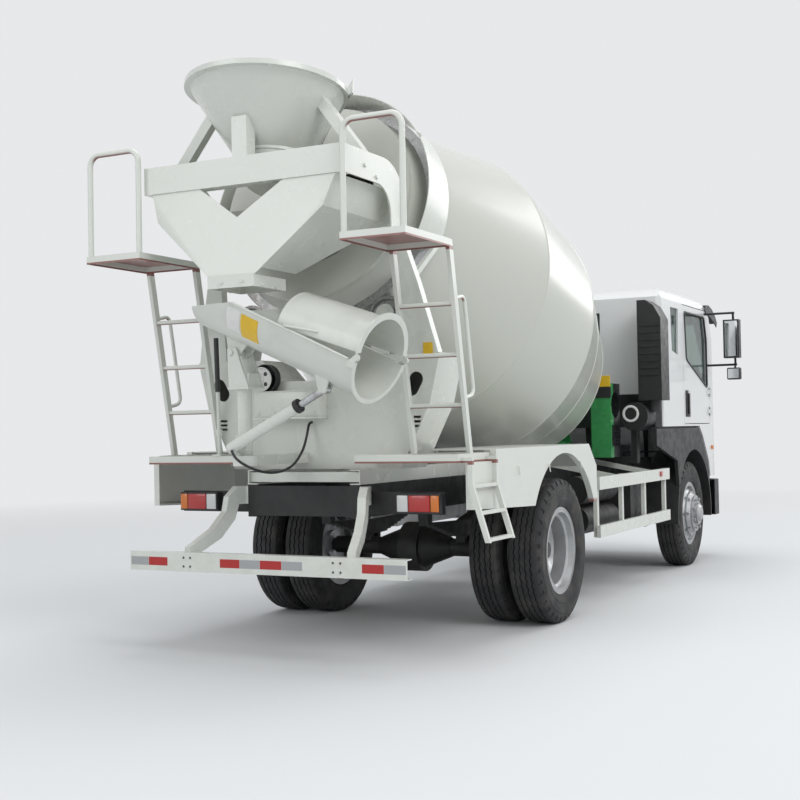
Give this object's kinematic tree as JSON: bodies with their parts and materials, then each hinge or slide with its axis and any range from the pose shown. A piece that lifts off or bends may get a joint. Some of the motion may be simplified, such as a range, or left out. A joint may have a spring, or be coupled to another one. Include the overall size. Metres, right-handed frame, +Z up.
{
  "type": "concrete mixer truck",
  "caption": "Two-axle cab-over truck with an inclined mixing drum, charging hopper, discharge collector, swivelling folding chute, access ladders and underrun bar.",
  "frame": {"origin": "on the ground, under the middle of the truck's bounding box", "axes": "+X forward along the truck, +Y to its left, +Z up"},
  "size_m": [7.2281, 2.8, 3.4911],
  "materials": {
    "white_paint": "gloss enamel",
    "black_paint": "satin chassis paint",
    "green_paint": "gloss enamel",
    "black_plastic": "moulded",
    "grey_plastic": "moulded, and fabric on the seats",
    "steel": "rolled and machined",
    "silver_paint": "silver wheel paint",
    "engine_iron": "painted casting",
    "aluminium": "brushed sheet",
    "tyre": "road tyre",
    "glass": "tinted safety glass",
    "lamp_lens": "lens"
  },
  "bodies": {
    "root": {"chassis_frame": "black_paint", "subframe": "white_paint", "rear_pedestal": "white_paint", "front_pedestal": "green_paint", "oil_cooler": "green_paint", "reducer": "green_paint", "charging_hopper": "white_paint", "hopper_frame": "white_paint", "ring_guard": "white_paint", "discharge_collector": "white_paint", "access_right": "white_paint", "access_left": "white_paint", "lower_steps": "white_paint", "rear_fenders": "white_paint", "side_guards": "white_paint", "underrun_bar": "white_paint", "lamps": "lamp_lens", "rear_axle": "black_paint", "front_axle": "black_paint", "leaf_springs": "black_paint", "engine": "engine_iron", "prop_shaft": "black_paint", "fuel_tank": "aluminium", "air_tanks": "black_paint", "air_intake": "black_plastic", "exhaust": "steel", "front_bumper": "black_plastic", "front_mudguards": "black_plastic"},
    "drum": {"drum": "white_paint", "drum_ring": "steel"},
    "roller_right": {"roller_right": "steel"},
    "roller_left": {"roller_left": "steel"},
    "chute_swivel": {"chute_swivel": "white_paint"},
    "main_chute": {"main_chute": "white_paint"},
    "chute_extension": {"chute_extension": "white_paint"},
    "lift_barrel": {"lift_barrel": "white_paint"},
    "lift_rod": {"lift_rod": "steel"},
    "knuckle_right": {"knuckle_right": "black_paint"},
    "knuckle_left": {"knuckle_left": "black_paint"},
    "wheel_fr": {"rim_fr": "silver_paint", "tyre_fr": "tyre"},
    "wheel_fl": {"rim_fl": "silver_paint", "tyre_fl": "tyre"},
    "wheel_rr": {"rim_rr": "silver_paint", "tyre_rr": "tyre"},
    "wheel_rl": {"rim_rl": "silver_paint", "tyre_rl": "tyre"},
    "cab": {"cab_shell": "white_paint", "cab_glass": "glass", "cab_trim": "black_plastic", "cab_interior": "grey_plastic"},
    "door_right": {"door_right": "white_paint", "door_glass_right": "glass", "mirror_right": "black_plastic"},
    "door_left": {"door_left": "white_paint", "door_glass_left": "glass", "mirror_left": "black_plastic"}
  },
  "joints": [
    {"name": "drum_spin", "type": "hinge", "parent": "root", "child": "drum", "pos_m": [-0.78733, 0, 2.229], "axis": [-0.9598, 0, 0.2807], "continuous": true},
    {"name": "roller_right_spin", "type": "hinge", "parent": "root", "child": "roller_right", "pos_m": [-2.57955, -0.49632, 2.01458], "axis": [-0.9598, 0, 0.2807], "continuous": true},
    {"name": "roller_left_spin", "type": "hinge", "parent": "root", "child": "roller_left", "pos_m": [-2.57955, 0.49632, 2.01458], "axis": [-0.9598, 0, 0.2807], "continuous": true},
    {"name": "steer_right", "type": "hinge", "parent": "root", "child": "knuckle_right", "pos_m": [2.54767, -0.77, 0.487], "axis": [0, 0, 1], "range_deg": [-35, 35]},
    {"name": "front_right_spin", "type": "hinge", "parent": "knuckle_right", "child": "wheel_fr", "pos_m": [2.54767, -0.895, 0.487], "axis": [0, 1, 0], "continuous": true},
    {"name": "rear_right_spin", "type": "hinge", "parent": "root", "child": "wheel_rr", "pos_m": [-1.25233, -0.855, 0.487], "axis": [0, 1, 0], "continuous": true},
    {"name": "steer_left", "type": "hinge", "parent": "root", "child": "knuckle_left", "pos_m": [2.54767, 0.77, 0.487], "axis": [0, 0, 1], "range_deg": [-35, 35]},
    {"name": "front_left_spin", "type": "hinge", "parent": "knuckle_left", "child": "wheel_fl", "pos_m": [2.54767, 0.895, 0.487], "axis": [0, 1, 0], "continuous": true},
    {"name": "rear_left_spin", "type": "hinge", "parent": "root", "child": "wheel_rl", "pos_m": [-1.25233, 0.855, 0.487], "axis": [0, 1, 0], "continuous": true},
    {"name": "cab_tilt", "type": "hinge", "parent": "root", "child": "cab", "pos_m": [3.48767, 0, 0.9], "axis": [0, 1, 0], "range_deg": [0, 45]},
    {"name": "door_right_hinge", "type": "hinge", "parent": "cab", "child": "door_right", "pos_m": [3.15967, -1.063, 1.5], "axis": [0, 0, 1], "range_deg": [0, 70]},
    {"name": "door_left_hinge", "type": "hinge", "parent": "cab", "child": "door_left", "pos_m": [3.15967, 1.063, 1.5], "axis": [0, 0, -1], "range_deg": [0, 70]},
    {"name": "chute_swing", "type": "hinge", "parent": "root", "child": "chute_swivel", "pos_m": [-3.25733, 0.105, 1.3], "axis": [0, 0, -1], "range_deg": [-15, 165]},
    {"name": "chute_lift", "type": "hinge", "parent": "chute_swivel", "child": "main_chute", "pos_m": [-3.25246, 0.1447, 1.79], "axis": [-0.9925, 0.1219, 0], "range_deg": [-8, 11]},
    {"name": "chute_fold", "type": "hinge", "parent": "main_chute", "child": "chute_extension", "pos_m": [-3.37664, -0.86664, 1.70461], "axis": [0.9925, -0.1219, 0], "range_deg": [0, 186]},
    {"name": "barrel_swing", "type": "hinge", "parent": "chute_swivel", "child": "lift_barrel", "pos_m": [-3.35406, 0.09673, 1.255], "axis": [-0.9925, 0.1219, 0], "range_deg": [-6.81, 8.51]},
    {"name": "rod_slide", "type": "slide", "parent": "lift_barrel", "child": "lift_rod", "axis": [-0.1105, -0.9002, 0.4211], "range_m": [-0.0744, 0.0974]}
  ],
  "couplings": [
    {"joint": "roller_right_spin", "follows": "drum_spin", "ratio": -6.2083},
    {"joint": "roller_left_spin", "follows": "drum_spin", "ratio": -6.2083},
    {"joint": "steer_left", "follows": "steer_right", "ratio": 1},
    {"joint": "barrel_swing", "follows": "chute_lift", "ratio": 0.7537},
    {"joint": "rod_slide", "follows": "chute_lift", "m_per_rad": 0.50602}
  ]
}
